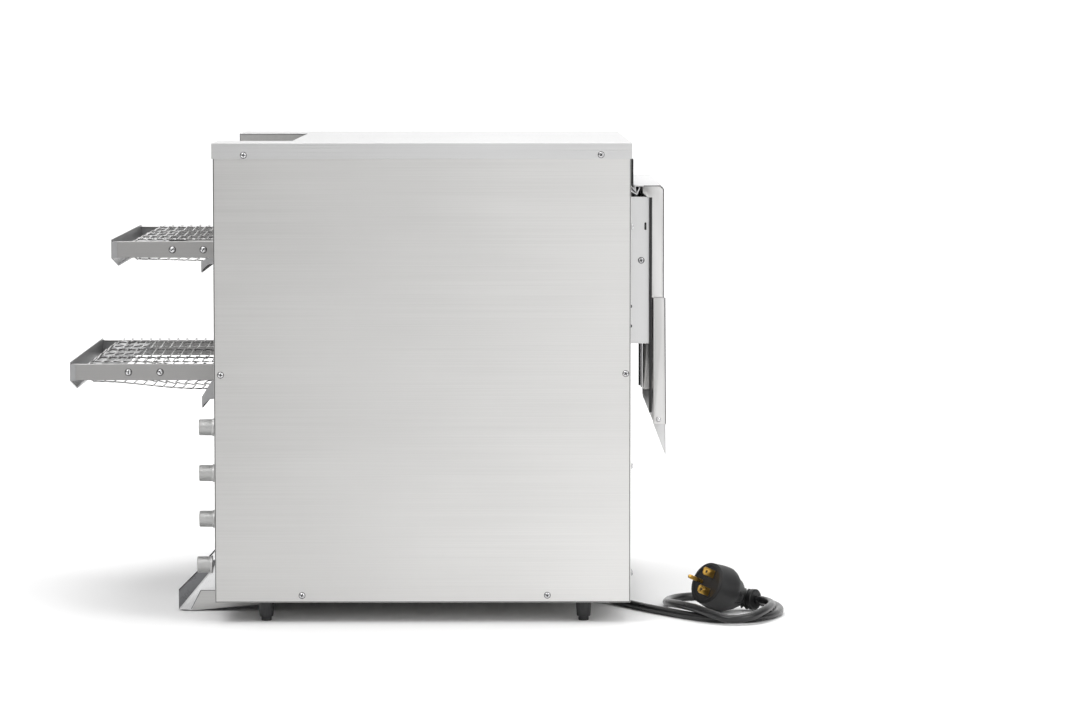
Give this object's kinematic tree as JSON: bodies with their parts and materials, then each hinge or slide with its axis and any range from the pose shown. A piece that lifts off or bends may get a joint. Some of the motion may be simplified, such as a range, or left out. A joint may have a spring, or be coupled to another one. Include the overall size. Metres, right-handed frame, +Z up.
{
  "type": "conveyor pizza oven",
  "caption": "Countertop conveyor pizza oven with stacked wire belts through a baking tunnel, rear chute hood, side control knobs, sloped front apron, adjustable feet and a power cord.",
  "frame": {"origin": "centre of the footprint at counter level, under the feet", "axes": "+X from the loading end towards the discharge end, +Y away from the control side, +Z up"},
  "size_m": [0.8783, 0.6695, 0.581],
  "materials": {
    "casing": "brushed stainless steel sheet",
    "liner": "dull stainless steel liner",
    "rail": "brushed stainless steel channel",
    "nose": "satin stainless steel sheet",
    "apron": "brushed stainless steel sheet",
    "hood": "bright stainless steel sheet",
    "belt": "woven stainless wire",
    "shaft": "turned steel",
    "heater": "oxidised heating element sheath",
    "motor": "black enamel",
    "control": "matte moulded",
    "knob": "satin aluminium, ribbed rim",
    "foot": "matte black",
    "foot_pad": "matte black",
    "gland": "matte black nylon",
    "cord": "satin black jacket",
    "plug": "satin black moulding",
    "blade": "plain brass"
  },
  "bodies": {
    "cabinet": {"base_pan": "casing", "chamber_ceiling": "liner", "chamber_divider": "liner", "chamber_floor": "liner", "control_panel": "casing", "cord_gland": "gland", "foot_front_far": "foot", "foot_front_near": "foot", "foot_rear_far": "foot", "foot_rear_near": "foot", "front_panel": "casing", "hood_gutter": "hood", "hood_inner_frame": "hood", "inner_wall_far": "liner", "inner_wall_near": "liner", "lower_belt": "belt", "lower_belt_guide": "nose", "lower_bottom_heater": "heater", "lower_gear_motor": "motor", "lower_heat_control": "control", "lower_nose_pan": "nose", "lower_rail_far": "rail", "lower_rail_near": "rail", "lower_speed_control": "control", "lower_top_heater": "heater", "plug_blade_lower": "blade", "plug_blade_upper": "blade", "plug_body": "plug", "plug_ground_pin": "blade", "power_cord": "cord", "rear_panel": "casing", "side_panel_far": "casing", "side_panel_near": "casing", "top_cover": "casing", "upper_belt": "belt", "upper_belt_guide": "nose", "upper_bottom_heater": "heater", "upper_gear_motor": "motor", "upper_heat_control": "control", "upper_nose_pan": "nose", "upper_rail_far": "rail", "upper_rail_near": "rail", "upper_speed_control": "control", "upper_top_heater": "heater"},
    "upper_drive": {"upper_drive_shaft": "shaft"},
    "upper_idler": {"upper_idler_roller": "shaft"},
    "lower_drive": {"lower_drive_shaft": "shaft"},
    "lower_idler": {"lower_idler_roller": "shaft"},
    "upper_heat_dial": {"upper_heat_knob": "knob"},
    "lower_heat_dial": {"lower_heat_knob": "knob"},
    "upper_speed_dial": {"upper_speed_knob": "knob"},
    "lower_speed_dial": {"lower_speed_knob": "knob"},
    "crumb_drawer": {"crumb_tray": "liner"},
    "apron": {"front_apron": "apron"},
    "rear_hood": {"rear_hood_upper": "hood", "rear_hood_lower": "hood"},
    "leveller_front_near": {"foot_pad_front_near": "foot_pad"},
    "leveller_rear_near": {"foot_pad_rear_near": "foot_pad"},
    "leveller_front_far": {"foot_pad_front_far": "foot_pad"},
    "leveller_rear_far": {"foot_pad_rear_far": "foot_pad"}
  },
  "joints": [
    {"name": "upper_drive_spin", "type": "hinge", "parent": "cabinet", "child": "upper_drive", "pos_m": [0.288, 0, 0.4475], "axis": [0, 1, 0], "continuous": true},
    {"name": "upper_idler_spin", "type": "hinge", "parent": "cabinet", "child": "upper_idler", "pos_m": [-0.282, 0, 0.4475], "axis": [0, 1, 0], "continuous": true},
    {"name": "lower_drive_spin", "type": "hinge", "parent": "cabinet", "child": "lower_drive", "pos_m": [0.288, 0, 0.2965], "axis": [0, 1, 0], "continuous": true},
    {"name": "lower_idler_spin", "type": "hinge", "parent": "cabinet", "child": "lower_idler", "pos_m": [-0.337, 0, 0.2965], "axis": [0, 1, 0], "continuous": true},
    {"name": "upper_heat_turn", "type": "hinge", "parent": "cabinet", "child": "upper_heat_dial", "pos_m": [-0.19, -0.2695, 0.234], "axis": [1, 0, 0], "range_deg": [0, 270]},
    {"name": "lower_heat_turn", "type": "hinge", "parent": "cabinet", "child": "lower_heat_dial", "pos_m": [-0.19, -0.2695, 0.178], "axis": [1, 0, 0], "range_deg": [0, 270]},
    {"name": "upper_speed_turn", "type": "hinge", "parent": "cabinet", "child": "upper_speed_dial", "pos_m": [-0.19, -0.2695, 0.122], "axis": [1, 0, 0], "range_deg": [0, 300]},
    {"name": "lower_speed_turn", "type": "hinge", "parent": "cabinet", "child": "lower_speed_dial", "pos_m": [-0.19, -0.2695, 0.066], "axis": [1, 0, 0], "range_deg": [0, 300]},
    {"name": "crumb_tray_slide", "type": "slide", "parent": "cabinet", "child": "crumb_drawer", "axis": [-1, 0, 0], "range_m": [0, 0.3]},
    {"name": "apron_slide", "type": "slide", "parent": "cabinet", "child": "apron", "axis": [-1, 0, 0], "range_m": [0, 0.15]},
    {"name": "rear_hood_lift", "type": "slide", "parent": "cabinet", "child": "rear_hood", "axis": [0, 0, 1], "range_m": [0, 0.06]},
    {"name": "front_near_level", "type": "slide", "parent": "cabinet", "child": "leveller_front_near", "axis": [0, 0, -1], "range_m": [0, 0.008]},
    {"name": "rear_near_level", "type": "slide", "parent": "cabinet", "child": "leveller_rear_near", "axis": [0, 0, -1], "range_m": [0, 0.008]},
    {"name": "front_far_level", "type": "slide", "parent": "cabinet", "child": "leveller_front_far", "axis": [0, 0, -1], "range_m": [0, 0.008]},
    {"name": "rear_far_level", "type": "slide", "parent": "cabinet", "child": "leveller_rear_far", "axis": [0, 0, -1], "range_m": [0, 0.008]}
  ],
  "couplings": [
    {"joint": "upper_idler_spin", "follows": "upper_drive_spin", "ratio": 1},
    {"joint": "lower_idler_spin", "follows": "lower_drive_spin", "ratio": 1}
  ]
}
